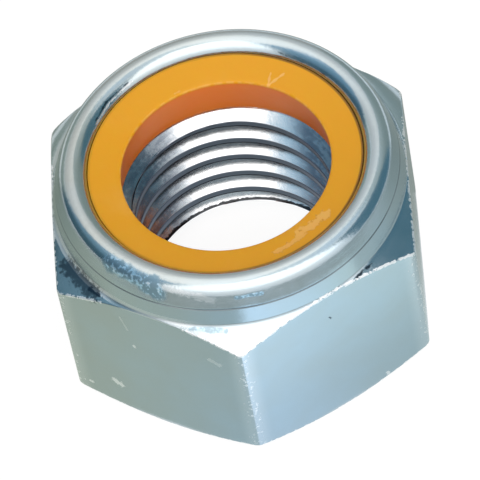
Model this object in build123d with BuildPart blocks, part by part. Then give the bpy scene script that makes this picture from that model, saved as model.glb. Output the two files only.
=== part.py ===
"""Hexagon lock nut with a nylon insert, M30 x 3.5, in millimetres.

Two pieces: a steel body, whose collar is rolled inwards at the top, and the nylon ring that
the collar traps. The bearing face lies on z = 0 and the thread's axis is Z. One corner of the
hexagon points to -Y, so two of its flats face +X and -X.
"""

import os
from math import cos, radians, sin, tan

from build123d import *

# Hexagon
ACROSS_FLATS = 46.0  # wrench size
HEIGHT = 30.0  # from the bearing face to the crest of the collar
CORNER_ROUND = 1.2  # of the six upright edges
BEARING_INSET = 1.1  # the flat ring that the nut bears on ends this far inside the flats
CHAMFER_ANGLE = 30.0  # of both corner chamfers, from the bearing face

# Hole, drilled to the thread's minor diameter and countersunk at both ends
THREAD_DIAMETER = 30.0
THREAD_PITCH = 3.5
COUNTERSINK_OVERSIZE = 1.5  # both mouths are this much wider than the thread
COUNTERSINK_ANGLE = 120.0  # included

# Collar
COLLAR_HEIGHT = 5.7  # from the middle of a flat's upper edge to the crest
COLLAR_INSET = 0.1  # its foot lies this far inside the flats
COLLAR_WALL = 2.9  # thickness at its foot
COLLAR_FILLET = 0.8  # round its foot
COLLAR_LEAN = 21.0  # of its rolled part, inwards from upright
CREASE_DEPTH = 3.1  # the line where the rolling tool stopped is this far below the crest
LIP_RADIUS = 1.9  # of the lip's round section
LIP_OVERHANG = 2.1  # the lip reaches this far inwards over the insert
LIP_TURN = 149.0  # its round goes on over the crest for this many degrees
RIM_LENGTH = 1.7  # the collar's cut end faces the insert for this far below the round
RIM_LEAN = 8.0  # of the cut end, outwards from upright
LIP_CURL = 55.0  # of the collar's inside, inwards from upright under the lip

# Nylon insert, in a recess with a flat floor
RECESS_DEPTH = 8.4  # from the crest to the floor that the insert sits on
INSERT_CLEARANCE = 0.1  # the least room between the insert and the collar
INSERT_UNDERSIZE = 3.0  # its bore is this much narrower than the thread, so that a bolt bites
INSERT_TAPER = 1.8  # the squeezed bore is this much wider at the bottom than at the top
INSERT_EDGE_DEPTH = 2.2  # its inner top edge is this far below the crest
INSERT_RIM_DEPTH = 1.4  # and its top meets the lip this far below the crest
INSERT_EDGE_BREAK = 0.3  # chamfer of its inner top edge

# Hexagon and hole, worked out from them
flat_radius = ACROSS_FLATS / 2
outside_radius = flat_radius / cos(radians(30)) + 1  # just clear of the corners
bearing_radius = flat_radius - BEARING_INSET
chamfer_slope = tan(radians(CHAMFER_ANGLE))
floor_z = HEIGHT - RECESS_DEPTH
thread_depth = 5 / 8 * THREAD_PITCH * cos(radians(30))  # of the basic 60 degree profile
minor_radius = THREAD_DIAMETER / 2 - thread_depth
inside_radius = minor_radius - 1  # just inside the drilled hole
countersink_radius = (THREAD_DIAMETER + COUNTERSINK_OVERSIZE) / 2
countersink_depth = (countersink_radius - inside_radius) / tan(radians(COUNTERSINK_ANGLE / 2))

# Outside of the collar: up from its foot to the crease, then tangent to the lip
foot_radius = flat_radius - COLLAR_INSET
recess_radius = foot_radius - COLLAR_WALL
lip_x = recess_radius - LIP_OVERHANG + LIP_RADIUS
lip_z = HEIGHT - LIP_RADIUS
crease_z = HEIGHT - CREASE_DEPTH
tangent_x = lip_x + LIP_RADIUS * cos(radians(COLLAR_LEAN))
tangent_z = lip_z + LIP_RADIUS * sin(radians(COLLAR_LEAN))
crease_x = tangent_x + (tangent_z - crease_z) * tan(radians(COLLAR_LEAN))

# Inside of the collar: the cut end, then a cone that leads out to the recess wall
round_end = radians(COLLAR_LEAN + LIP_TURN)
round_end_x = lip_x + LIP_RADIUS * cos(round_end)
round_end_z = lip_z + LIP_RADIUS * sin(round_end)
rim_x = round_end_x + RIM_LENGTH * sin(radians(RIM_LEAN))
rim_z = round_end_z - RIM_LENGTH * cos(radians(RIM_LEAN))
bend_z = rim_z - (recess_radius - rim_x) / tan(radians(LIP_CURL))


def lower_chamfer(x):
    """Height of the lower corner chamfer at this radius."""
    return (x - bearing_radius) * chamfer_slope


def upper_chamfer(x):
    """Height of the upper corner chamfer at this radius."""
    return HEIGHT - COLLAR_HEIGHT - (x - flat_radius) * chamfer_slope


# Drilled hexagon bar, trimmed by the turned outline
with BuildPart() as nut_body:
    with BuildSketch():
        hexagon = RegularPolygon(flat_radius, 6, major_radius=False, rotation=30)
        fillet(hexagon.vertices(), radius=CORNER_ROUND)
        Circle(minor_radius, mode=Mode.SUBTRACT)
    extrude(amount=HEIGHT)

    with BuildSketch(Plane.XZ):
        with BuildLine():
            foot = (foot_radius, upper_chamfer(foot_radius))
            Polyline(
                (inside_radius, countersink_depth),
                (countersink_radius, 0),
                (bearing_radius, 0),
                (outside_radius, lower_chamfer(outside_radius)),
                (outside_radius, upper_chamfer(outside_radius)),
                foot,
                (crease_x, crease_z),
                (tangent_x, tangent_z),
            )
            CenterArc((lip_x, lip_z), LIP_RADIUS, COLLAR_LEAN, LIP_TURN)
            Polyline(
                (round_end_x, round_end_z),
                (rim_x, rim_z),
                (recess_radius, bend_z),
                (recess_radius, floor_z),
                (countersink_radius, floor_z),
                (inside_radius, floor_z - countersink_depth),
                (inside_radius, countersink_depth),
            )
        make_face()
        fillet(vertices().sort_by_distance(foot)[0], radius=COLLAR_FILLET)
    revolve(axis=Axis.Z, mode=Mode.INTERSECT)

# The ring sits on the recess floor. Its shoulder and the hollow that the lip has pressed into it
# keep to the same corners as the collar's inside, moved inwards and down.
with BuildPart() as nylon_insert:
    with BuildSketch(Plane.XZ):
        with BuildLine():
            bore_radius = (THREAD_DIAMETER - INSERT_UNDERSIZE) / 2
            top_edge = (bore_radius, HEIGHT - INSERT_EDGE_DEPTH)
            Polyline(
                (round_end_x - INSERT_CLEARANCE, HEIGHT - INSERT_RIM_DEPTH),
                top_edge,
                (bore_radius + INSERT_TAPER / 2, floor_z),
                (recess_radius - INSERT_CLEARANCE, floor_z),
                (recess_radius - INSERT_CLEARANCE, bend_z - INSERT_CLEARANCE),
                (rim_x - INSERT_CLEARANCE, rim_z - INSERT_CLEARANCE),
                close=True,
            )
        make_face()
        chamfer(vertices().sort_by_distance(top_edge)[0], length=INSERT_EDGE_BREAK)
    revolve(axis=Axis.Z)

nut_body.part.label = "nut_body"
nylon_insert.part.label = "nylon_insert"

os.makedirs("parts", exist_ok=True)
export_step(nut_body.part, "parts/nut_body.step")
export_step(nylon_insert.part, "parts/nylon_insert.step")
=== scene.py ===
"""Visual model of a hexagon lock nut with a nylon insert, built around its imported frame.

Laid out as an add-on: the property groups hold the sizes and colours, each operator makes one
piece or the studio, and main() runs them in order. Lengths are in metres, but the materials work
in millimetres. The bearing face lies on z = 0, the thread's axis is Z and one corner of the
hexagon points to -Y.
"""

from math import cos, pi, radians, sin, tan

import bpy
import numpy as np
from mathutils import Matrix, Vector


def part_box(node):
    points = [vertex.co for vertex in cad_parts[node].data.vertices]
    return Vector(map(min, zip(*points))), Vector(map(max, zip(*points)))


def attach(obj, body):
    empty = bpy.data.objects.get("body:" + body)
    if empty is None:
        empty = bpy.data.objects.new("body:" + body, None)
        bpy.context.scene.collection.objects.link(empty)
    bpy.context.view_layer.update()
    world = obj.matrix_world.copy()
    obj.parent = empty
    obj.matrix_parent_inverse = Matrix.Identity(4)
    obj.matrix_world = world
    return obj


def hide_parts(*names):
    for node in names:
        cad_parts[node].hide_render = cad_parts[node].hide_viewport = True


bl_info = {
    "name": "Nylon insert lock nut",
    "version": (1, 0, 0),
    "blender": (4, 5, 0),
    "location": "3D View > Sidebar > Lock Nut",
    "description": "Makes an M30 hexagon lock nut with a nylon insert, and a studio for it",
    "category": "Object",
}

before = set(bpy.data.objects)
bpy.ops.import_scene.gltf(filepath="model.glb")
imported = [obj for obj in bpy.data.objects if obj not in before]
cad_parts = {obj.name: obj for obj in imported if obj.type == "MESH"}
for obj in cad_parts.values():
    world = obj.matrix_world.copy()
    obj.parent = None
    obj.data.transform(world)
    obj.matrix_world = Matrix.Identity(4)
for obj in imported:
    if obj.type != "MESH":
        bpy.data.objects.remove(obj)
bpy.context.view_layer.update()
body_low, body_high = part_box("nut_body")

MM = 0.001
WELD = 1e-6  # vertices nearer than this are one
UNEVENNESS = 0.01 * MM  # of plating and mouldings
FLAT_TURN = radians(30)  # from the middle of a flat to a corner
THREAD_DEPTH = 5 / 8 * cos(radians(30))  # of the basic 60 degree profile, in pitches
FLANK_SLOPE = tan(radians(60))  # radius over height: thread's flanks, and upper countersink
CLEAR = 0.4 * MM  # a hexagon that reaches this far past its flats doesn't cut the foot fillet

# How finely the pieces are divided
COLUMNS_PER_SIDE = 40
ROWS_PER_PITCH = 32
RING_COLUMNS = 240
LIP_STEPS = 24
FILLET_STEPS = 6


# Sizes and colours


def number(name, description, default, **kind):
    """A number property."""
    return bpy.props.FloatProperty(name=name, description=description, default=default, **kind)


def length(name, description, size):
    """A length property, given in mm."""
    return number(name, description, size * MM, min=0.0, unit="LENGTH", precision=5)


def angle(name, description, degrees):
    """An angle property, given in degrees."""
    return number(name, description, radians(degrees), subtype="ANGLE")


def share(name, description, default):
    """A property from 0 to 1."""
    return number(name, description, default, min=0.0, max=1.0, subtype="FACTOR")


def colour(name, description, default):
    """A linear colour property."""
    return bpy.props.FloatVectorProperty(
        name=name, description=description, default=default, min=0.0, max=1.0, subtype="COLOR"
    )


class LockNutBodySizes(bpy.types.PropertyGroup):
    """Sizes of the steel body."""

    across_flats: length("Across flats", "Wrench size", (body_high.x - body_low.x) / MM)
    height: length("Height", "To the collar's crest", body_high.z / MM)
    corner_round: length("Corner round", "Radius of the six upright edges", 1.2)
    edge_round: length("Edge round", "Of the chamfers' edges", 0.16)
    bearing_inset: length("Bearing inset", "From the flats to the bearing ring's edge", 1.1)
    chamfer_angle: angle("Chamfer angle", "Of both corner chamfers", 30)
    crown: length("Crown", "Bulge of the upper chamfer at the back", 0.45)
    edge_waver: length("Edge waver", "How unevenly the upper chamfer runs out", 0.22)
    thread_diameter: length("Thread diameter", "Major diameter", 30)
    thread_pitch: length("Thread pitch", "From one crest to the next", 3.5)
    thread_start: length("Thread start", "Height of a crest's middle on +X", 1.3)
    countersink_oversize: length("Countersink oversize", "Its diameter over the thread's", 1.5)
    mouth_widening: length("Mouth widening", "Of the lower countersink's radius", 0.45)
    collar_height: length("Collar height", "From a flat's upper edge to the crest", 5.7)
    collar_inset: length("Collar inset", "Its foot lies this far inside the flats", 0.1)
    collar_wall: length("Collar wall", "Thickness of the collar's foot", 2.9)
    foot_fillet: length("Foot fillet", "How far the collar's foot is blended", 0.345)
    collar_lean: angle("Collar lean", "Of its rolled part, inwards", 21)
    crease_depth: length("Crease depth", "Of the rolling tool's line, from the crest", 3.1)
    crease_groove: length("Crease groove", "How deep that line is", 0.07)
    lip_radius: length("Lip radius", "Of the lip's round section", 2.0)
    lip_overhang: length("Lip overhang", "How far it reaches over the insert", 2.3)
    lip_turn: angle("Lip turn", "How far its round goes on over the crest", 149)
    rim_length: length("Rim length", "Of the collar's cut end, below the round", 1.7)
    rim_lean: angle("Rim lean", "Of the cut end, outwards", 8)
    lip_curl: angle("Lip curl", "Of the collar's inside, inwards", 55)
    recess_depth: length("Recess depth", "From the crest to the insert's seat", 8.4)


class LockNutInsertSizes(bpy.types.PropertyGroup):
    """Sizes of the nylon ring."""

    bore: length("Bore", "Diameter at the top of the hole", 27)
    bore_taper: length("Bore taper", "How much wider the hole is at the bottom", 1.8)
    clearance: length("Clearance", "Between the ring and the collar", 0.1)
    edge_depth: length("Edge depth", "Of the inner top edge, from the crest", 2.2)
    rim_depth: length("Rim depth", "Of the outer top edge, from the crest", 1.4)
    edge_round: length("Edge round", "How far the inner top edge is round", 0.35)


class LockNutFinish(bpy.types.PropertyGroup):
    """Colours and finishes."""

    # zinc_grey and zinc_blue are mixed by random clouds, and also along X as painted shade: greyer
    # and darker towards -X, bluer towards +X
    zinc_grey: colour("Grey zinc", "The plating where it is thin", (0.44, 0.51, 0.52))
    zinc_blue: colour("Blue zinc", "The plating where it is thick", (0.45, 0.57, 0.65))
    # Pale zinc for wear. It also paints highlights: in the threaded hole, along the collar's foot,
    # and as specks in the blue reflection
    zinc_wear_and_highlight: colour("Worn zinc", "Colour of rubbed places", (0.86, 0.89, 0.91))
    zinc_roughness: share("Zinc roughness", "Of the plating on the flats", 0.20)
    # Painted shade: the crests' near-black colour stands in for the dark that they mirror
    thread_crest_shade: colour("Thread crest", "Colour of the thread's dull crests", (0.045, 0.07, 0.10))
    nylon: colour("Nylon", "Colour of the insert", (0.76, 0.36, 0.003))
    # Painted shade: colour of the bore's darker, redder wall
    nylon_wall_shade: colour("Deep nylon", "Colour of its shaded wall", (0.85, 0.21, 0.0))
    nylon_scuffed: colour("Scuffed nylon", "Colour of its scratches", (0.84, 0.50, 0.14))
    nylon_roughness: share("Nylon roughness", "Of the insert", 0.34)


class LockNutStudio(bpy.types.PropertyGroup):
    """Light and camera."""

    floor_size: length("Floor size", "Side of the square floor", 6000)
    floor_colour: colour("Floor colour", "Of the lit floor", (0.16, 0.16, 0.16))
    floor_glow: number("Floor glow", "Added to the lit floor where it shows", 0.90, min=0.0)
    fill: number("Fill", "Strength of the light from all round", 0.45, min=0.0)
    card_distance: length("Card distance", "From the nut to the softbox and screens", 1200)
    camera_lens: length("Focal length", "For a 36 mm sensor", 343.71)


# Sizes worked out from others


def shoulder_height(sizes):
    """Height of a flat's upper edge, at its middle."""
    return sizes.height - sizes.collar_height


def seat_height(sizes):
    """Height of the ring's seat."""
    return sizes.height - sizes.recess_depth


def recess_radius(sizes):
    """Radius of the recess under the lip."""
    return sizes.across_flats / 2 - sizes.collar_inset - sizes.collar_wall


def mouth_radius(sizes):
    """Radius of the upper countersink."""
    return (sizes.thread_diameter + sizes.countersink_oversize) / 2


# Node trees


class Value:
    """A number, vector or colour that a node tree works out. Arithmetic on it adds Math nodes."""

    def __init__(self, graph, socket):
        self.graph = graph
        self.socket = socket

    def __add__(self, other):
        return self.graph.math("ADD", self, other)

    def __sub__(self, other):
        return self.graph.math("SUBTRACT", self, other)

    def __rsub__(self, other):
        return self.graph.math("SUBTRACT", other, self)

    def __mul__(self, other):
        return self.graph.math("MULTIPLY", self, other)

    def __truediv__(self, other):
        return self.graph.math("DIVIDE", self, other)

    __radd__ = __add__
    __rmul__ = __mul__


def opaque(tone):
    """A colour as a colour socket takes it."""
    return tone if isinstance(tone, Value) else (*tone, 1.0)


class Graph:
    """Adds nodes to a node tree and links them."""

    def __init__(self, tree):
        self.tree = tree

    def add(self, kind, inputs=None, **settings):
        """A new node with these settings. Inputs are fed by name or number."""
        node = self.tree.nodes.new(kind)
        for name, value in settings.items():
            setattr(node, name, value)
        for key, value in (inputs or {}).items():
            if isinstance(value, Value):
                self.tree.links.new(value.socket, node.inputs[key])
            else:
                node.inputs[key].default_value = value
        return node

    def out(self, kind, inputs=None, output=0, **settings):
        """One output of a new node."""
        return Value(self, self.add(kind, inputs, **settings).outputs[output])

    def math(self, operation, *values):
        return self.out("ShaderNodeMath", dict(enumerate(values)), operation=operation)

    def vector_math(self, operation, *values, output=0):
        """A Vector Math node. Its output 1 is a number."""
        inputs = dict(enumerate(values))
        return self.out("ShaderNodeVectorMath", inputs, output, operation=operation)

    def scaled(self, vector, factor):
        inputs = {"Vector": vector, "Scale": factor}
        return self.out("ShaderNodeVectorMath", inputs, operation="SCALE")

    def mix(self, factor, first, second):
        """Between two numbers."""
        return self.out("ShaderNodeMix", {0: factor, 2: first, 3: second})

    def mix_vector(self, factor, first, second):
        inputs = {0: factor, 4: first, 5: second}
        return self.out("ShaderNodeMix", inputs, 1, data_type="VECTOR")

    def mix_colour(self, factor, first, second):
        inputs = {0: factor, 6: opaque(first), 7: opaque(second)}
        return self.out("ShaderNodeMix", inputs, 2, data_type="RGBA")

    def coated(self, paint, *layers):
        """The paint with these layers over it, each a (mask, colour)."""
        for mask, tone in layers:
            paint = self.mix_colour(mask, paint, tone)
        return paint

    def step(self, value, low, high):
        """Rises smoothly from 0 at low to 1 at high."""
        inputs = {"Value": value, "From Min": low, "From Max": high}
        return self.out("ShaderNodeMapRange", inputs, interpolation_type="SMOOTHSTEP")

    def fade(self, value, low, high):
        """Falls smoothly from 1 at low to 0 at high."""
        inputs = {"Value": value, "From Min": low, "From Max": high, "To Min": 1.0, "To Max": 0.0}
        return self.out("ShaderNodeMapRange", inputs, interpolation_type="SMOOTHSTEP")

    def absolute(self, value):
        return self.math("ABSOLUTE", value)

    def near(self, value, inner, outer):
        """1 where the value is within inner of 0, and falls smoothly to 0 at outer."""
        return self.fade(self.absolute(value), inner, outer)

    def largest(self, first, *others):
        for other in others:
            first = self.math("MAXIMUM", first, other)
        return first

    def smallest(self, first, *others):
        for other in others:
            first = self.math("MINIMUM", first, other)
        return first

    def clamped(self, value):
        return self.smallest(self.largest(value, 0.0), 1.0)

    def parts(self, vector):
        """The x, y and z of a vector."""
        node = self.add("ShaderNodeSeparateXYZ", {0: vector})
        return [Value(self, socket) for socket in node.outputs]

    def point(self, x, y, z):
        return self.out("ShaderNodeCombineXYZ", {0: x, 1: y, 2: z})

    def noise(self, vector, scale, detail=2.0, roughness=0.5):
        """Soft noise from 0 to 1, around 0.5."""
        inputs = {"Vector": vector, "Scale": scale, "Detail": detail, "Roughness": roughness}
        return self.out("ShaderNodeTexNoise", inputs)

    def bump(self, strength, distance, height):
        """The normal on a surface with this relief."""
        inputs = {"Strength": strength, "Distance": distance, "Height": height}
        return self.out("ShaderNodeBump", inputs)

    def end_with(self, kind, inputs, output="ShaderNodeOutputMaterial"):
        """Ends the tree with this shader."""
        self.add(output, {"Surface": self.out(kind, inputs)})


def new_tree(name, inputs):
    """A Geometry Nodes tree with these named number inputs: (graph, outline, their values)."""
    tree = bpy.data.node_groups.new(name, "GeometryNodeTree")
    tree.interface.new_socket("Outline", in_out="INPUT", socket_type="NodeSocketGeometry")
    for label, default in inputs.items():
        kind = "NodeSocketInt" if isinstance(default, int) else "NodeSocketFloat"
        socket = tree.interface.new_socket(label, in_out="INPUT", socket_type=kind)
        socket.default_value = default
    tree.interface.new_socket("Solid", in_out="OUTPUT", socket_type="NodeSocketGeometry")
    graph = Graph(tree)
    start = graph.add("NodeGroupInput")
    values = {label: Value(graph, start.outputs[label]) for label in inputs}
    return graph, Value(graph, start.outputs["Outline"]), values


def run_tree(piece, tree, inputs):
    """Runs a tree on a piece and leaves it as a plain mesh."""
    modifier = piece.modifiers.new(tree.name, "NODES")
    modifier.node_group = tree
    for item in tree.interface.items_tree:
        if item.in_out == "INPUT" and item.name in inputs:
            modifier[item.identifier] = inputs[item.name]
    piece.update_tag()
    depsgraph = bpy.context.evaluated_depsgraph_get()
    made = bpy.data.meshes.new_from_object(
        piece.evaluated_get(depsgraph), preserve_all_data_layers=True, depsgraph=depsgraph
    )
    outline = piece.data
    piece.modifiers.remove(modifier)
    piece.data = made
    made.name = piece.name
    bpy.data.meshes.remove(outline)
    if not made.polygons:
        raise RuntimeError(f"{tree.name} made nothing")


def welded(graph, solid):
    return graph.out("GeometryNodeMergeByDistance", {"Geometry": solid, "Distance": WELD})


def finish_tree(graph, solid, material, sizes, waves, sharp_angle):
    """Welds, shades and paints what a tree has made, and ends the tree.

    Plating and mouldings are never even, so the surface moves in and out a little, by noise of
    this scale and detail.
    """
    solid = welded(graph, solid)
    place = graph.out("GeometryNodeInputPosition")
    shifted = graph.vector_math("ADD", place, graph.point(sizes["Seed"], 0.0, 0.0))
    wave = graph.noise(shifted, *waves) - 0.5
    offset = graph.scaled(graph.out("GeometryNodeInputNormal"), wave * sizes["Unevenness"])
    solid = welded(graph, graph.out("GeometryNodeSetPosition", {0: solid, "Offset": offset}))
    solid = graph.out("GeometryNodeSetShadeSmooth", {"Geometry": solid}, domain="FACE")
    turn = graph.out("GeometryNodeInputMeshEdgeAngle")
    sharp = graph.out("FunctionNodeCompare", {0: turn, 1: sharp_angle}, operation="GREATER_THAN")
    inputs = {"Geometry": solid, "Selection": sharp, "Shade Smooth": False}
    solid = graph.out("GeometryNodeSetShadeSmooth", inputs, domain="EDGE")
    solid = graph.out("GeometryNodeRealizeInstances", {"Geometry": solid})
    solid = graph.out("GeometryNodeSetMaterial", {"Geometry": solid, "Material": material})
    graph.add("NodeGroupOutput", {"Solid": solid})


# Outlines, as (radius, height) rows


def drawn(corners, rounds, spans, steps=4):
    """Rows along straight lines through these corners, with each corner rounded.

    rounds says how far from each corner its rounding starts, spans how many parts each straight
    line is divided into, and steps how many parts each rounding is.
    """
    corners = [np.array(c, float) for c in corners]
    last = corners[0]
    rows = [last]
    for k in range(1, len(corners)):
        corner, back = corners[k], corners[k - 1]
        towards = (back - corner) / np.linalg.norm(back - corner)
        rounding = rounds[k]
        start = corner + towards * rounding
        rows += [last + (start - last) * n / spans[k - 1] for n in range(1, spans[k - 1] + 1)]
        last = start
        if rounding and k + 1 < len(corners):
            onwards = corners[k + 1] - corner
            end = corner + onwards / np.linalg.norm(onwards) * rounding
            rows += [bend_point(start, corner, end, n / steps) for n in range(1, steps + 1)]
            last = end
    return rows


def bend_point(start, corner, end, t):
    """The point at the share t of a parabola that leaves both lines at a corner smoothly."""
    return (1 - t) ** 2 * start + 2 * t * (1 - t) * corner + t**2 * end


def arc(centre, radius, start, turn, steps):
    """Rows round a centre, without the first."""
    angles = [start + turn * n / steps for n in range(1, steps + 1)]
    return [np.array(centre) + radius * np.array((cos(a), sin(a))) for a in angles]


def lip_section(sizes):
    """The collar's lip: (where the leaned wall meets it, its rows, rim corner, bend under it)."""
    recess = recess_radius(sizes)
    centre = np.array(
        (recess - sizes.lip_overhang + sizes.lip_radius, sizes.height - sizes.lip_radius)
    )
    lean = sizes.collar_lean
    start = centre + sizes.lip_radius * np.array((cos(lean), sin(lean)))
    rows = arc(centre, sizes.lip_radius, lean, sizes.lip_turn, LIP_STEPS)
    rim = rows[-1] + sizes.rim_length * np.array((sin(sizes.rim_lean), -cos(sizes.rim_lean)))
    bend = np.array((recess, rim[1] - (recess - rim[0]) / tan(sizes.lip_curl)))
    return start, rows, rim, bend


def crease_point(sizes):
    """Where the rolling tool stopped on the collar's outside."""
    start, *_ = lip_section(sizes)
    height = sizes.height - sizes.crease_depth
    return np.array((start[0] + (start[1] - height) * tan(sizes.collar_lean), height))


def foot_blend(sizes, radius):
    """From this radius in to the collar: (upper chamfer, fillet at the collar's foot), as rows."""
    slope = tan(sizes.chamfer_angle)
    flat = sizes.across_flats / 2
    shoulder = shoulder_height(sizes)
    foot = np.array((flat - sizes.collar_inset, shoulder + sizes.collar_inset * slope))
    crease = crease_point(sizes)
    up_wall = (crease - foot) / np.linalg.norm(crease - foot)
    up_chamfer = np.array((-1.0, slope)) / np.hypot(1.0, slope)
    start, end = foot - up_chamfer * sizes.foot_fillet, foot + up_wall * sizes.foot_fillet

    def fillet(first):
        shares = [first + (1 - first) * n / FILLET_STEPS for n in range(FILLET_STEPS + 1)]
        return [bend_point(start, foot, end, t) for t in shares]

    if radius > start[0]:
        corner = np.array((radius, shoulder - (radius - flat) * slope))
        return [corner, start], fillet(0.0)
    # The flat cuts into the fillet, so the first fifth of what is left stands for the chamfer
    cut = min(
        np.linspace(0, 1, 2001), key=lambda t: abs(bend_point(start, foot, end, t)[0] - radius)
    )
    rows = fillet(cut + (1 - cut) / 5)
    return [bend_point(start, foot, end, cut), rows[0]], rows


def body_outline(sizes, radius):
    """Rows from the lower mouth of the hole, round the outside, to the upper mouth.

    radius is the hexagon's radius where the section is taken.
    """
    mouth = mouth_radius(sizes)
    bearing = sizes.across_flats / 2 - sizes.bearing_inset
    lower = (radius, (radius - bearing) * tan(sizes.chamfer_angle))
    chamfer, fillet = foot_blend(sizes, radius)
    upper_round = min(sizes.edge_round, (radius - fillet[0][0]) * 0.7)
    start, lip, rim, bend = lip_section(sizes)
    crease = crease_point(sizes)
    seat = seat_height(sizes)
    rows = drawn(
        [(mouth + sizes.mouth_widening, 0), (bearing, 0), lower, *chamfer],
        [0, 0.12 * MM, sizes.edge_round, upper_round, 0],
        [5, 5, 22, 7],
    )
    rows += fillet[1:]
    groove = [
        crease + np.array((0.02, -0.16)) * MM,
        crease - np.array((sizes.crease_groove, 0)),
        crease + np.array((-0.02, 0.14)) * MM,
    ]
    rounds = [0, 0.05 * MM, 0.04 * MM, 0.05 * MM, 0]
    rows += drawn([fillet[-1], *groove, start], rounds, [6, 1, 1, 5])[1:]
    rows += lip
    inside = [lip[-1], rim, bend, (bend[0], seat), (mouth, seat)]
    rows += drawn(inside, [0, 0.15 * MM, 0.2 * MM, 0.1 * MM, 0], [3, 3, 4, 5], steps=3)[1:]
    return rows


def insert_rim(body, sizes):
    """Radius where the lip presses on the ring."""
    _, lip, *_ = lip_section(body)
    return lip[-1][0] - sizes.clearance / 5


def insert_outline(body, sizes):
    """The ring's section, from its rim round and back to it."""
    _, _, rim, bend = lip_section(body)
    seat = seat_height(body)
    gap = sizes.clearance
    bore = sizes.bore / 2
    start = (insert_rim(body, sizes), body.height - sizes.rim_depth)
    corners = [
        start,
        (bore, body.height - sizes.edge_depth),
        (bore + sizes.bore_taper / 2, seat),
        (bend[0] - gap, seat),
        bend - gap,
        rim - gap,
        start,
    ]
    return drawn(corners, [0, sizes.edge_round, 0.05 * MM, 0.1 * MM, 0, 0, 0], [10, 12, 6, 4, 2, 3])


def new_object(name, points, edges, faces):
    """A mesh object, linked to the scene."""
    mesh = bpy.data.meshes.new(name)
    mesh.from_pydata(points, edges, faces)
    piece = bpy.data.objects.new(name, mesh)
    bpy.context.scene.collection.objects.link(piece)
    return piece


def outline_object(name, rows, **others):
    """A line of vertices along the rows. It carries the other rows as named attributes."""

    def points(some):
        return [(r, 0.0, z) for r, z in some]

    piece = new_object(name, points(rows), [(n, n + 1) for n in range(len(rows) - 1)], [])
    for label, some in others.items():
        attribute = piece.data.attributes.new(label, "FLOAT_VECTOR", "POINT")
        attribute.data.foreach_set("vector", np.array(points(some), np.float32).ravel())
    return piece


# Trees that follow the outlines


def sheet_of(graph, columns, rows):
    """A grid of columns x rows steps: (its mesh, its column and row as fields)."""
    inputs = {0: columns * 1.0, 1: rows * 1.0, 2: columns + 1, 3: rows + 1}
    grid = graph.out("GeometryNodeMeshGrid", inputs)
    x, y, _ = graph.parts(graph.out("GeometryNodeInputPosition"))
    return grid, graph.math("ROUND", x + columns / 2), graph.math("ROUND", y + rows / 2)


def around(graph, radius, height, turn):
    """The point at this radius and height, turned about the axis."""
    across, along = graph.math("COSINE", turn), graph.math("SINE", turn)
    return graph.point(radius * across, radius * along, height)


def outline_rows(graph, outline):
    """How many steps the outline has."""
    inputs = {"Geometry": outline}
    return graph.out("GeometryNodeAttributeDomainSize", inputs, component="MESH") - 1


def from_outline(graph, outline, row, field):
    """A vector of the outline's own, at this row."""
    inputs = {"Geometry": outline, "Value": field, "Index": row}
    return graph.out("GeometryNodeSampleIndex", inputs, data_type="FLOAT_VECTOR")


def placed(graph, grid, position):
    return graph.out("GeometryNodeSetPosition", {"Geometry": grid, "Position": position})


def hexagon_angles(graph, column, per_side):
    """The columns' directions, closer together at the corners: (direction, angle from a flat)."""
    side = graph.math("FLOOR", column / per_side)
    across = (column / per_side - side) * 2 - 1
    bunched = across + graph.math("SINE", across * pi) * (0.93 / pi)
    from_flat = bunched * FLAT_TURN
    direction = side * (2 * FLAT_TURN) + from_flat + (FLAT_TURN - pi / 2)
    return direction, from_flat


def hexagon_radius(graph, from_flat, flat, corner_round):
    """The hexagon in a direction: (its radius, its radius at a corner)."""
    centre = (flat - corner_round) / cos(FLAT_TURN)
    from_corner = FLAT_TURN - graph.absolute(from_flat)
    off_centre = centre * graph.math("SINE", from_corner)
    reach = graph.largest(corner_round * corner_round - off_centre * off_centre, 0.0)
    rounded = centre * graph.math("COSINE", from_corner) + graph.math("SQRT", reach)
    straight = flat / graph.math("COSINE", from_flat)
    ends = corner_round * sin(FLAT_TURN) / (centre + corner_round * cos(FLAT_TURN))
    in_round = graph.math("LESS_THAN", graph.math("TANGENT", from_corner), ends)
    return graph.mix(in_round, straight, rounded), centre + corner_round


def hexagon_sheet(graph, outline, sizes):
    """The body's outside. Each of its sections blends the outlines at a flat and at a corner."""
    per_side = sizes["Columns per side"]
    flat = sizes["Across flats"] / 2
    grid, column, row = sheet_of(graph, per_side * 6, outline_rows(graph, outline))
    direction, from_flat = hexagon_angles(graph, column, per_side)
    radius, corner_radius = hexagon_radius(graph, from_flat, flat, sizes["Corner round"])
    section = from_outline(graph, outline, row, graph.out("GeometryNodeInputPosition"))
    reached = flat
    for label, reach in (("clear", flat + sizes["Clear of the fillet"]), ("corner", corner_radius)):
        blend = graph.clamped((radius - reached) / (reach - reached))
        inputs = {"Name": label}
        own = graph.out("GeometryNodeInputNamedAttribute", inputs, data_type="FLOAT_VECTOR")
        further = from_outline(graph, outline, row, own)
        section = graph.mix_vector(blend, section, further)
        reached = reach
    r, _, z = graph.parts(section)

    # The upper chamfer is domed at the back and runs out unevenly, and the flats stretch with it
    line = sizes["Shoulder height"] - (r - flat) * sizes["Chamfer slope"]
    outwards = graph.clamped((r - flat) / (corner_radius - flat))
    to_back = graph.step(graph.math("SINE", direction), -0.2, 0.6)
    dome = outwards * (1 - outwards) * 4 * sizes["Crown"] * to_back
    at_edge = graph.step(r - radius, -0.6 * MM, 0.0)
    waver = graph.noise(around(graph, 1.0, sizes["Seed"], direction), 17.0, 3.0, 0.7) - 0.5
    share_up = graph.clamped((z - line * 0.6) / (line * 0.4))
    z = z + (dome + waver * at_edge * sizes["Edge waver"]) * share_up
    return placed(graph, grid, around(graph, r, z, direction))


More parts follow.
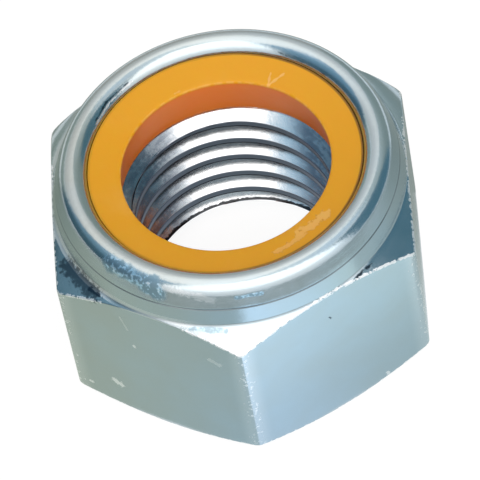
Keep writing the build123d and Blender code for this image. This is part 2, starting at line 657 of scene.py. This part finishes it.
def thread_sheet(graph, sizes):
    """The threaded hole. Its rows climb with the thread and stop at the seat and bearing face."""
    per_side = sizes["Columns per side"]
    pitch = sizes["Thread pitch"]
    per_pitch = sizes["Rows per pitch"]
    seat = sizes["Seat height"]
    turns = graph.math("CEIL", seat / pitch) + 2
    grid, column, row = sheet_of(graph, per_side * 6, turns * per_pitch)
    direction, _ = hexagon_angles(graph, column, per_side)
    along = row / per_pitch - 2
    z = sizes["Thread start"] + (along + direction / (2 * pi)) * pitch
    z = graph.smallest(graph.largest(z, 0.0), seat)
    from_crest = graph.absolute(along - graph.math("ROUND", along))
    depth = (from_crest - 1 / 8) * pitch * FLANK_SLOPE
    depth = graph.math("SMOOTH_MAX", depth, 0.0, pitch * 0.006)
    depth = graph.math("SMOOTH_MIN", depth, pitch * THREAD_DEPTH, pitch * 0.03)
    thread = sizes["Thread diameter"] / 2 - pitch * THREAD_DEPTH + depth
    mouth = sizes["Countersink diameter"] / 2
    lower = mouth + sizes["Mouth widening"] - z
    upper = mouth - (seat - z) * FLANK_SLOPE
    r = graph.largest(thread, lower, upper)
    hole = placed(graph, grid, around(graph, r, z, direction))
    return graph.out("GeometryNodeFlipFaces", {0: hole})


def body_tree(material, inputs):
    """The hexagon body with its threaded hole."""
    graph, outline, sizes = new_tree("Hexagon lock nut body", inputs)
    both = graph.add("GeometryNodeJoinGeometry")
    for sheet in (hexagon_sheet(graph, outline, sizes), thread_sheet(graph, sizes)):
        graph.tree.links.new(sheet.socket, both.inputs[0])
    solid = Value(graph, both.outputs[0])
    finish_tree(graph, solid, material, sizes, (90.0, 1.0), radians(38))
    return graph.tree


def ring_tree(material, inputs):
    """A turned ring that follows its outline."""
    graph, outline, sizes = new_tree("Turned nylon ring", inputs)
    columns = sizes["Columns"]
    grid, column, row = sheet_of(graph, columns, outline_rows(graph, outline))
    section = from_outline(graph, outline, row, graph.out("GeometryNodeInputPosition"))
    r, _, z = graph.parts(section)
    solid = placed(graph, grid, around(graph, r, z, column / columns * (2 * pi)))
    finish_tree(graph, solid, material, sizes, (160.0, 2.0), radians(40))
    return graph.tree


# Finishes. In the materials, places and widths are in mm.

# Strokes: from, to, half width, and how strong. The pale ones are wear; the blue ones and some dark
# ones paint reflection and shade, as noted
PALE_MARKS = (
    ((-17.9, -16.2, 6.35), (-17.15, -16.7, 5.85), 0.62, 0.9),
    ((-14.1, -18.4, 16.3), (-14.0, -18.5, 16.0), 0.3, 0.9),
    ((-21.2, -14.3, 4.1), (-21.0, -14.4, 4.0), 0.3, 0.9),
    ((-4.2, -24.1, 19.2), (-3.1, -24.8, 18.8), 0.5, 0.35),
    ((-15.1, -17.8, 21.9), (-14.5, -18.2, 19.5), 0.16, 0.35),
    ((17.2, -16.6, 2.0), (17.3, -16.6, 1.5), 0.3, 0.8),
    ((-8.4, -19.6, 29.3), (-2.7, -21.6, 28.4), 0.6, 0.25),
    ((-16.4, 7.9, 29.1), (-14.4, 11.2, 29.3), 0.16, 0.8),
    ((-14.4, 11.2, 29.3), (-11.4, 14.3, 29.3), 0.13, 0.7),
)
# Painted reflection: mottled blue patches where the lip and collar mirror blue
BLUE_REFLECTION_MARKS = (
    ((-15.2, -14.8, 29.4), (-9.6, -19.4, 28.7), 1.5, 0.75),
    ((0.4, -21.7, 28.4), (3.6, -21.4, 28.4), 0.35, 0.7),
    ((-6.0, -22.5, 24.2), (-1.6, -23.4, 24.0), 0.4, 0.5),
)
# Dark strokes: scuffs, and at the shoulders' height (about 24 mm) painted shade on the shoulders
SCUFFS_AND_SHOULDER_SHADE = (
    ((11.3, -20.0, 19.9), (11.4, -20.0, 19.6), 0.2, 0.8),
    ((15.4, -17.4, 24.3), (17.4, -15.6, 24.3), 0.3, 0.9),
    ((-21.6, -10.2, 24.1), (-18.0, -15.1, 24.0), 1.3, 0.75),
    ((-18.6, -14.4, 24.0), (-17.4, -15.6, 24.0), 0.4, 0.95),
    ((-16.8, 7.6, 29.3), (-14.8, 11.1, 29.55), 0.15, 0.9),
    ((-14.8, 11.1, 29.55), (-11.9, 14.0, 29.5), 0.12, 0.8),
    ((7.4, 16.8, 29.2), (14.0, 11.6, 29.1), 0.1, 0.6),
)
# The ring's, in plan
NYLON_MARKS = (
    ((8.9, -12.6, 0.0), (12.2, -10.1, 0.0), 0.9, 0.8),
    ((5.8, -15.2, 0.0), (9.3, -12.9, 0.0), 0.55, 0.7),
    ((6.1, 12.2, 0.0), (8.3, 13.5, 0.0), 0.22, 0.95),
    ((6.1, 12.2, 0.0), (6.6, 14.0, 0.0), 0.18, 0.9),
    ((-6.0, 12.6, 0.0), (-5.4, 12.9, 0.0), 0.15, 0.6),
)
# Painted shade in the collar's crease
CREASE_SHADE_TONE = (0.03, 0.05, 0.06)
# Dark tone for scuffs and for the painted shade on the shoulders
SCUFF_AND_SHADE_TONE = (0.02, 0.04, 0.06)
# Painted blue reflection, deep and pale
REFLECTION_BLUE_DEEP, REFLECTION_BLUE_PALE = (0.10, 0.24, 0.34), (0.45, 0.78, 1.0)
# Painted shade in the thread: the first tone on the hole's sides, the second in the black lines
# along the crests and round the lower mouth
SIDE_SHADE_TONE, EDGE_SHADE_TONE = (0.10, 0.13, 0.18), (0.004, 0.006, 0.01)  # in the thread
# The second tone paints the lip's shadow on the ring's outer rim
GROOVE_TONE, RIM_SHADOW_TONE = (0.42, 0.15, 0.01), (0.07, 0.03, 0.01)  # on the nylon
UNWORN = (-12.2, -19.5, 24.3)  # round this point the chamfer's upper edge has no flecks


def new_material(name):
    """A material with its node tree emptied: (material, graph)."""
    material = bpy.data.materials.new(name)
    material.use_nodes = True
    material.node_tree.nodes.clear()
    return material, Graph(material.node_tree)


class Place:
    """Where a material is on its piece."""

    def __init__(self, graph):
        self.vector = graph.scaled(graph.out("ShaderNodeTexCoord", output="Object"), 1 / MM)
        self.x, self.y, self.z = graph.parts(self.vector)
        self.radius = graph.math("SQRT", self.x * self.x + self.y * self.y)


def marked(graph, place, marks, waver):
    """How strongly these strokes show at this place. The waver makes their edges ragged."""
    total = 0.0
    for start, end, half_width, strong in marks:
        line = Vector(end) - Vector(start)
        offset = graph.vector_math("SUBTRACT", place, start)
        way = graph.vector_math("DOT_PRODUCT", offset, tuple(line), output=1) / line.length_squared
        nearest = graph.scaled(tuple(line), graph.clamped(way))
        gap = graph.vector_math("DISTANCE", offset, nearest, output=1)
        gap = gap + (waver - 0.5) * (half_width * 2.4)
        total = graph.largest(graph.fade(gap, half_width * 0.45, half_width) * strong, total)
    return total


def hole_masks(graph, at, turn, sizes, mottle, fine):
    """(inside the threaded hole, on the thread's crests, and painted shadow: black lines under the
    crests and a black band round the lower mouth)
    """
    seat = seat_height(sizes) / MM
    pitch = sizes.thread_pitch / MM
    crest = sizes.thread_diameter / 2 / MM - pitch * THREAD_DEPTH
    lower_mouth = (mouth_radius(sizes) + sizes.mouth_widening) / MM
    in_hole = graph.fade(at.radius, lower_mouth + 0.1, lower_mouth + 0.3)
    in_hole = in_hole * graph.fade(at.z, seat - 0.4, seat - 0.1)
    on_crest = graph.fade(at.radius, crest + 0.055, crest + 0.155) * in_hole

    # A crest spans -1/8 to 1/8 of a pitch
    along = (at.z - sizes.thread_start / MM) / pitch - turn / (2 * pi)
    phase = along - graph.math("ROUND", along)
    # Painted shadow: a black line along each crest's lower edge
    crest_shadow_line = graph.near(phase + 0.115 + (mottle - 0.5) * 0.05, 0.035, 0.05) * on_crest

    # The lower countersink leans by 45 degrees, so its radius and height add up to the mouth's
    past_cone = at.radius + at.z - lower_mouth
    ragged = (fine - 0.5) * 0.8 + (mottle - 0.5) * 0.5
    # Painted shade: a ragged black band just inside the lower countersink
    mouth_shadow_band = graph.step(past_cone, 0.02, 0.12) * graph.fade(past_cone + ragged, 0.5, 0.7)
    mouth_shadow_band = mouth_shadow_band * graph.fade(at.z, pitch + 0.1, pitch + 0.5) * in_hole
    return in_hole, on_crest, graph.largest(crest_shadow_line, mouth_shadow_band)


def edge_masks(graph, at, sizes):
    """Where the outside is rubbed, and a painted highlight: (upright edges, chamfers' run-outs,
    painted highlight along the collar's foot).
    """
    flat = sizes.across_flats / 2 / MM
    shoulder = shoulder_height(sizes) / MM
    slope = tan(sizes.chamfer_angle)
    turns = (0, 2 * FLAT_TURN, -2 * FLAT_TURN)
    reaches = [graph.absolute(at.x * cos(turn) + at.y * sin(turn)) for turn in turns]
    most, least = graph.largest(*reaches), graph.smallest(*reaches)
    second = reaches[0] + reaches[1] + reaches[2] - most - least
    inside = flat - most
    upright = graph.fade(most - second, 0.3, 2.2) * graph.fade(inside, 0.2, 0.4)

    above = at.z + (at.radius - flat) * slope - shoulder
    below = (at.radius - (flat - sizes.bearing_inset / MM)) * slope - at.z
    top = graph.fade(graph.largest(graph.absolute(above), inside), 0.1, 0.5)
    low = graph.fade(graph.largest(graph.absolute(below), inside), 0.1, 0.5)
    worn = graph.step(graph.vector_math("DISTANCE", at.vector, UNWORN, output=1), 3.0, 7.5)

    # Painted highlight along the collar's foot, at the front left only, and brightest at the left
    foot = graph.step(at.radius, flat - 0.5, flat - 0.4)
    foot = foot * graph.fade(at.radius, flat + 0.25, flat + 0.45)
    foot = foot * graph.step(at.z, shoulder - 0.3, shoulder - 0.15)
    foot = foot * graph.fade(at.z, shoulder + 0.6, shoulder + 0.8)
    foot = foot * graph.fade(at.x, -8.0, -4.0) * graph.fade(at.y, -6.0, 0.0)
    foot = foot * (graph.fade(at.x, -17.0, -15.0) * 0.45 + 0.3)
    return upright, graph.largest(top * worn, low * 0.85), foot


def zinc_material(finish, sizes):
    """Blue-bright zinc plating on cold-formed steel."""
    material, graph = new_material("blue_bright_zinc")
    at = Place(graph)
    turn = graph.math("ARCTAN2", at.y, at.x)
    cloud = graph.noise(at.vector, 0.11, 3.0, 0.6)
    mottle = graph.noise(at.vector, 0.45, 3.0, 0.65)
    fine = graph.noise(at.vector, 1.8, 3.0, 0.6)
    streak = graph.noise(graph.point(at.radius * 1.5, at.z * 1.5, turn * 3.0), 1.0, 3.0, 0.6)
    # Painted shade: besides the random clouds, the plating turns greyer and darker towards -X and
    # bluer towards +X
    thickness_and_side_shade = graph.clamped(at.x / 60 + 0.5 + (cloud - 0.5) * 1.2)

    in_hole, on_crest, shadow_lines = hole_masks(graph, at, turn, sizes, mottle, fine)
    # Painted shade on the hole's left and right sides, broken up by noise
    sideways = graph.largest(graph.step(at.x * -1, 4.5, 10.0), graph.step(at.x, 7.0, 10.5))
    side_shade_mottle = graph.step(streak + mottle * 0.5 + fine * 0.4, 0.80, 1.05) * 0.3 + 0.7

    upright, run_outs, foot = edge_masks(graph, at, sizes)
    edges = graph.largest(upright * 0.62, run_outs)
    flecks = graph.step(fine + mottle * 0.35 + edges * 0.5, 1.05, 1.14)
    # Wear, and the painted highlight along the collar's foot
    wear_and_foot_highlight = graph.largest(flecks * 0.9, marked(graph, at.vector, PALE_MARKS, fine), foot)

    # Painted shade: a dark line just under the groove
    off_crease = at.z - crease_point(sizes)[1] / MM + 0.05
    recess = recess_radius(sizes) / MM
    crease = graph.near(off_crease, 0.05, 0.13) * graph.step(at.radius, recess + 1.5, recess + 1.7)

    # Painted blue reflection in mottled patches, with pale specks
    blue_reflection = marked(graph, at.vector, BLUE_REFLECTION_MARKS, mottle)
    patchy = graph.step(fine + (mottle - 0.5) * 0.6, 0.44, 0.60)

    paint = graph.coated(
        graph.mix_colour(thickness_and_side_shade, finish.zinc_grey, finish.zinc_blue),
        # Painted highlight: the whole threaded hole is made paler, for the bright thread flanks
        (in_hole * 0.6, finish.zinc_wear_and_highlight),
        # Painted shade: the crests are dark for the dark they mirror
        (on_crest * 0.93, finish.thread_crest_shade),
        (sideways * side_shade_mottle * in_hole * 0.85, SIDE_SHADE_TONE),
        (shadow_lines * 0.95, EDGE_SHADE_TONE),
        (upright * 0.25, finish.zinc_wear_and_highlight),
        (wear_and_foot_highlight, finish.zinc_wear_and_highlight),
        (crease * (cloud * 0.8 + 0.1), CREASE_SHADE_TONE),
        (blue_reflection * 0.85, graph.mix_colour(patchy, REFLECTION_BLUE_DEEP, REFLECTION_BLUE_PALE)),
        (blue_reflection * graph.step(fine, 0.60, 0.66) * 0.8, finish.zinc_wear_and_highlight),
        (marked(graph, at.vector, SCUFFS_AND_SHOULDER_SHADE, fine), SCUFF_AND_SHADE_TONE),
    )
    rough = finish.zinc_roughness + (mottle - 0.5) * 0.10 + (streak - 0.5) * 0.06
    for mask, roughness in ((on_crest, 0.45), (wear_and_foot_highlight, 0.5), (blue_reflection, 0.45)):
        rough = graph.mix(mask, rough, roughness)
    shoulder = shoulder_height(sizes) / MM
    on_collar = graph.step(at.z, shoulder + 0.3, shoulder + 0.7)
    height = mottle * 0.5 + fine * 0.10 + streak * on_collar * 0.4 - wear_and_foot_highlight * 0.35
    bump = graph.bump(0.4, 0.1 * MM, height)
    inputs = {"Base Color": paint, "Metallic": 1.0, "Roughness": rough, "Normal": bump}
    graph.end_with("ShaderNodeBsdfPrincipled", inputs)
    return material


def nylon_material(finish, body, sizes):
    """Dyed nylon, a little translucent."""
    material, graph = new_material("amber_nylon")
    at = Place(graph)
    top = (body.height - sizes.edge_depth) / MM  # of the bore
    bore = sizes.bore / 2 / MM
    rim = insert_rim(body, sizes) / MM
    cloud = graph.noise(at.vector, 0.12, 3.0)
    fine = graph.noise(at.vector, 1.5, 2.0)
    on_top = graph.step(at.z, top - 0.4, top - 0.2)

    edge = graph.fade(at.radius, bore + 0.12, bore + 0.25) * graph.step(at.z, top - 0.35, top - 0.2)
    strokes = marked(graph, graph.point(at.x, at.y, 0.0), NYLON_MARKS, fine) * on_top
    groove = graph.near(strokes - 0.35, 0.02, 0.16)
    # Painted shadow of the lip on the ring's outer rim, strongest towards +X
    rim_shadow = graph.step(at.radius, rim - 0.36, rim - 0.11) * on_top
    paint = graph.coated(
        finish.nylon,
        (graph.step(cloud, 0.5, 0.8) * 0.2, finish.nylon_scuffed),
        # Painted shade: the bore's wall below its top edge is darker and redder
        (graph.fade(at.z, top - 0.6, top - 0.1), finish.nylon_wall_shade),
        (edge * graph.step(fine, 0.35, 0.6) * 0.5, finish.nylon_scuffed),
        (strokes * 0.8, finish.nylon_scuffed),
        (groove * 0.45, GROOVE_TONE),
        (rim_shadow * (graph.step(at.x, -9.0, 9.0) * 0.55 + 0.2), RIM_SHADOW_TONE),
    )
    inputs = {
        "Base Color": paint,
        "Roughness": finish.nylon_roughness + (cloud - 0.5) * 0.15,
        "Normal": graph.bump(0.25, 0.08 * MM, fine - strokes * 2.0),
        "IOR": 1.53,
        "Specular IOR Level": 0.25,
        "Subsurface Weight": 0.3,
        "Subsurface Radius": (1.0, 0.35, 0.06),
        "Subsurface Scale": 1 * MM,
    }
    graph.end_with("ShaderNodeBsdfPrincipled", inputs)
    return material


# Studio

# Cards bent round the nut: name, edges in turn and in tilt, and tones from the lower edge up.
# Turns go from the front towards the right. In a tone, which is red, green and blue, 1 is white.
SOFTBOX = ("softbox", (-44, 68), (-2, 84), (
    (1.10, 1.05, 1.05), (1.35, 1.28, 1.25), (2.3, 2.15, 2.1), (2.5, 2.3, 2.2), (2.5, 2.3, 2.2),
))
SCREENS = (
    ("flag_left", (-122, -48), (-2, 64), (
        (0.06, 0.13, 0.17), (0.08, 0.16, 0.21), (0.22, 0.38, 0.50), (0.48, 0.68, 0.84),
    )),
    ("flag_right", (72, 124), (-2, 54), ((0.12, 0.24, 0.30),)),
    ("screen_back_left", (-152, -122), (-8, 24), ((0.34, 0.40, 0.36), (0.42, 0.48, 0.44))),
    ("screen_back_right", (124, 166), (-8, 62), (
        (0.33, 0.37, 0.33), (0.38, 0.43, 0.40), (0.66, 0.70, 0.67),
    )),
    ("screen_back", (166, 208), (-8, 27), ((0.60, 0.55, 0.50), (0.62, 0.58, 0.53))),
    ("screen_high", (168, 238), (28, 62), (
        (0.75, 0.72, 0.68), (0.95, 0.88, 0.84), (1.5, 1.35, 1.25),
    )),
    ("overhead_right", (68, 152), (62, 90), ((0.85, 0.95, 1.05), (1.2, 1.2, 1.2))),
    ("overhead_left", (152, 316), (62, 90), ((1.7, 1.55, 1.45), (2.0, 1.8, 1.7))),
)
LOW_FLAG = ("flag_low", (-120, 120), (-1, 9.5), ((0.45, 0.48, 0.46),))
CARD_COLUMNS, CARD_ROWS = 32, 16

# Cards on the floor, one beside each flat, that paint the floor's light and shade there for the
# metal to mirror: name, the flat's turn, tones from the flat's left end to its right, and how much
# brighter the card is away from the nut
FLOOR_LIGHT_AND_SHADE_CARDS = (
    ("floor_card_front_left", -30, (0.62, 0.67, 0.58), (0.58, 0.69, 0.72), 1.0),
    ("floor_card_front_right", 30, (0.82, 0.95, 1.08), (0.64, 0.72, 0.71), 1.45),
    ("floor_card_right", 90, (0.64, 0.72, 0.71), (0.34, 0.38, 0.35), 1.0),
    ("floor_card_back_right", 150, (0.34, 0.38, 0.35), (0.45, 0.48, 0.44), 1.0),
    ("floor_card_back_left", -150, (0.45, 0.48, 0.44), (0.30, 0.35, 0.31), 1.0),
    ("floor_card_left", -90, (0.30, 0.35, 0.31), (0.62, 0.67, 0.58), 1.0),
)
FLOOR_CARD_NEAR, FLOOR_CARD_FAR, FLOOR_CARD_HEIGHT = 23.4 * MM, 110 * MM, 0.2 * MM
FLOOR_DROP = 0.01 * MM  # from the nut down to the floor
LOW_FLAG_DISTANCE = 120 * MM
CAMERA_ELEVATION, CAMERA_ROLL = radians(52.3184), radians(-11.3455)
CAMERA_AZIMUTH = radians(6.1634)  # from the front corner towards the right
CAMERA_AIM, CAMERA_DISTANCE = 11.5 * MM, 598 * MM  # how high it looks, and from how far
CAMERA_SHIFT = (-0.1334 * MM, 0.184 * MM)  # to its own right and upwards


def seen_directly(graph):
    """1 for camera, glossy and transmission rays."""
    rays = graph.add("ShaderNodeLightPath")
    kinds = ("Is Camera Ray", "Is Glossy Ray", "Is Transmission Ray")
    camera, glossy, transmission = (Value(graph, rays.outputs[kind]) for kind in kinds)
    return graph.smallest(camera + glossy + transmission, 1.0)


def add_floor(studio):
    """A pale floor that keeps the object's shadow."""
    half, low = studio.floor_size / 2, -FLOOR_DROP
    corners = [(-half, -half, low), (half, -half, low), (half, half, low), (-half, half, low)]
    floor = new_object("floor", corners, [], [(0, 1, 2, 3)])
    material, graph = new_material("pale_floor")
    inputs = {
        "Base Color": opaque(studio.floor_colour),
        "Roughness": 0.9,
        "Specular IOR Level": 0.0,
        "Emission Color": (1.0, 1.0, 1.0, 1.0),
        "Emission Strength": seen_directly(graph) * studio.floor_glow,
    }
    graph.end_with("ShaderNodeBsdfPrincipled", inputs)
    floor.data.materials.append(material)


def add_world(scene, studio):
    """White all round where it shows, and a softer light on what doesn't mirror it."""
    world = bpy.data.worlds.new("studio")
    world.use_nodes = True
    world.node_tree.nodes.clear()
    graph = Graph(world.node_tree)
    level = graph.mix(seen_directly(graph), studio.fill, 1.0)
    inputs = {"Color": (1.0, 1.0, 1.0, 1.0), "Strength": level}
    graph.end_with("ShaderNodeBackground", inputs, "ShaderNodeOutputWorld")
    scene.world = world


def new_card(name, points, faces, lights=False):
    """Makes a card and returns its material's graph. If it doesn't light, it is only mirrored."""
    card = new_object(name, points, [], faces)
    material, graph = new_material(name)
    card.data.materials.append(material)
    card.visible_camera = False
    card.visible_shadow = False
    card.visible_diffuse = lights
    return graph


def add_card(distance, name, turns, tilts, tones, lights=False):
    """A glowing card bent round the nut. Turns and tilts are in degrees."""
    points = []
    for tilt in np.radians(np.linspace(*tilts, CARD_ROWS + 1)):
        for turn in np.radians(np.linspace(*turns, CARD_COLUMNS + 1)):
            across = distance * cos(tilt)
            points.append((across * sin(turn), -across * cos(turn), distance * sin(tilt)))
    wide = CARD_COLUMNS + 1
    starts = [r * wide + c for r in range(CARD_ROWS) for c in range(CARD_COLUMNS)]
    faces = [(n, n + 1, n + wide + 1, n + wide) for n in starts]
    graph = new_card(name, points, faces, lights)
    _, _, z = graph.parts(graph.out("ShaderNodeTexCoord", output="Object"))
    tilt = graph.math("ARCSINE", z / distance) * (180 / pi)
    stops = np.linspace(*tilts, len(tones))
    tone = tones[0]
    for k in range(1, len(tones)):
        tone = graph.mix_colour(graph.step(tilt, stops[k - 1], stops[k]), tone, tones[k])
    graph.end_with("ShaderNodeEmission", {"Color": opaque(tone), "Strength": 1.0})


def add_floor_card(name, degrees, left_tone, right_tone, far_gain):
    """A card beside a flat, just over the floor, that paints the floor's light and shade there for
    the metal to mirror.
    """
    turn = radians(degrees)
    outwards = Vector((sin(turn), -cos(turn), 0.0))
    along = Vector((cos(turn), sin(turn), 0.0))
    near, far = FLOOR_CARD_NEAR, FLOOR_CARD_FAR
    corners = []
    for reach, side in ((near, -1), (near, 1), (far, 1), (far, -1)):
        corner = outwards * reach + along * (side * reach * tan(FLAT_TURN))
        corners.append((corner.x, corner.y, FLOOR_CARD_HEIGHT))
    graph = new_card(name, corners, [(0, 1, 2, 3)])
    place = graph.out("ShaderNodeTexCoord", output="Object")
    sideways = graph.vector_math("DOT_PRODUCT", place, tuple(along), output=1)
    away = graph.vector_math("DOT_PRODUCT", place, tuple(outwards), output=1)
    share_along = graph.step(sideways / away, -tan(FLAT_TURN), tan(FLAT_TURN))
    tone = graph.mix_colour(share_along, left_tone, right_tone)
    gain = graph.step(away, 24 * MM, 42 * MM) * (far_gain - 1.0) + 1.0
    graph.end_with("ShaderNodeEmission", {"Color": tone, "Strength": gain})


def add_cards(studio):
    """The softbox, and all that the metal mirrors besides it."""
    add_card(studio.card_distance, *SOFTBOX, lights=True)
    for screen in SCREENS:
        add_card(studio.card_distance, *screen)
    add_card(LOW_FLAG_DISTANCE, *LOW_FLAG)
    for card in FLOOR_LIGHT_AND_SHADE_CARDS:
        add_floor_card(*card)


def add_camera(scene, studio):
    """Stands off the front corner, above and a little to the right."""
    data = bpy.data.cameras.new("camera")
    data.sensor_width = 36.0
    data.lens = studio.camera_lens / MM
    data.clip_start, data.clip_end = 0.01, 20.0
    camera = bpy.data.objects.new("camera", data)
    scene.collection.objects.link(camera)
    right = Vector((cos(CAMERA_AZIMUTH), sin(CAMERA_AZIMUTH), 0.0))
    level = Vector((right.y, -right.x, 0.0)) * cos(CAMERA_ELEVATION)
    back = level + Vector((0.0, 0.0, sin(CAMERA_ELEVATION)))
    up = back.cross(right)
    across = cos(CAMERA_ROLL) * right + sin(CAMERA_ROLL) * up
    upward = -sin(CAMERA_ROLL) * right + cos(CAMERA_ROLL) * up
    place = Vector((0.0, 0.0, CAMERA_AIM)) + back * CAMERA_DISTANCE
    place += across * CAMERA_SHIFT[0] + upward * CAMERA_SHIFT[1]
    turned = Matrix((across, upward, back)).transposed().to_4x4()
    camera.matrix_world = Matrix.Translation(place) @ turned
    scene.camera = camera


# Operators


class LOCKNUT_OT_body(bpy.types.Operator):
    """Make the zinc-plated steel body with its threaded hole"""

    bl_idname = "locknut.body"
    bl_label = "Steel Body"

    def execute(self, context):
        scene = context.scene
        sizes = scene.lock_nut_body
        flat = sizes.across_flats / 2
        corner = (flat - sizes.corner_round) / cos(FLAT_TURN) + sizes.corner_round
        piece = outline_object(
            "steel_body",
            body_outline(sizes, flat),
            clear=body_outline(sizes, flat + CLEAR),
            corner=body_outline(sizes, corner),
        )
        inputs = {
            "Across flats": sizes.across_flats,
            "Corner round": sizes.corner_round,
            "Thread diameter": sizes.thread_diameter,
            "Thread pitch": sizes.thread_pitch,
            "Thread start": sizes.thread_start,
            "Mouth widening": sizes.mouth_widening,
            "Crown": sizes.crown,
            "Edge waver": sizes.edge_waver,
            "Countersink diameter": mouth_radius(sizes) * 2,
            "Seat height": seat_height(sizes),
            "Shoulder height": shoulder_height(sizes),
            "Chamfer slope": tan(sizes.chamfer_angle),
            "Clear of the fillet": CLEAR,
            "Columns per side": COLUMNS_PER_SIDE,
            "Rows per pitch": ROWS_PER_PITCH,
            "Unevenness": UNEVENNESS,
            "Seed": 0.0,
        }
        run_tree(piece, body_tree(zinc_material(scene.lock_nut_finish, sizes), inputs), inputs)
        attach(piece, "root")
        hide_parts("nut_body")
        return {"FINISHED"}


class LOCKNUT_OT_insert(bpy.types.Operator):
    """Make the nylon locking ring"""

    bl_idname = "locknut.insert"
    bl_label = "Nylon Insert"

    def execute(self, context):
        scene = context.scene
        body, sizes = scene.lock_nut_body, scene.lock_nut_insert
        piece = outline_object("nylon_ring", insert_outline(body, sizes))
        material = nylon_material(scene.lock_nut_finish, body, sizes)
        inputs = {"Columns": RING_COLUMNS, "Unevenness": UNEVENNESS, "Seed": 0.0}
        run_tree(piece, ring_tree(material, inputs), inputs)
        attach(piece, "root")
        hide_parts("nylon_insert")
        return {"FINISHED"}


class LOCKNUT_OT_studio(bpy.types.Operator):
    """Make the floor, the lights and the camera"""

    bl_idname = "locknut.studio"
    bl_label = "Studio"

    def execute(self, context):
        studio = context.scene.lock_nut_studio
        add_floor(studio)
        add_world(context.scene, studio)
        add_cards(studio)
        add_camera(context.scene, studio)
        context.scene.view_settings.view_transform = "Standard"
        return {"FINISHED"}


class LOCKNUT_PT_panel(bpy.types.Panel):
    """Lists the pieces' sizes and the buttons that make them"""

    bl_idname = "LOCKNUT_PT_panel"
    bl_label = "Lock Nut"
    bl_space_type = "VIEW_3D"
    bl_region_type = "UI"
    bl_category = "Lock Nut"

    def draw(self, context):
        scene = context.scene
        for title, group, operator in (
            ("Body", scene.lock_nut_body, LOCKNUT_OT_body),
            ("Insert", scene.lock_nut_insert, LOCKNUT_OT_insert),
            ("Finish", scene.lock_nut_finish, None),
            ("Studio", scene.lock_nut_studio, LOCKNUT_OT_studio),
        ):
            box = self.layout.box()
            box.label(text=title)
            for name in group.__annotations__:
                box.prop(group, name)
            if operator:
                box.operator(operator.bl_idname)


GROUPS = {
    "lock_nut_body": LockNutBodySizes,
    "lock_nut_insert": LockNutInsertSizes,
    "lock_nut_finish": LockNutFinish,
    "lock_nut_studio": LockNutStudio,
}
OPERATORS = (LOCKNUT_OT_body, LOCKNUT_OT_insert, LOCKNUT_OT_studio)
CLASSES = (*GROUPS.values(), *OPERATORS, LOCKNUT_PT_panel)


def register():
    for cls in CLASSES:
        bpy.utils.register_class(cls)
    for name, group in GROUPS.items():
        setattr(bpy.types.Scene, name, bpy.props.PointerProperty(type=group))


def unregister():
    for name in GROUPS:
        delattr(bpy.types.Scene, name)
    for cls in reversed(CLASSES):
        bpy.utils.unregister_class(cls)


def main():
    register()
    bpy.ops.locknut.body()
    bpy.ops.locknut.insert()
    bpy.ops.locknut.studio()


if __name__ == "__main__":
    main()
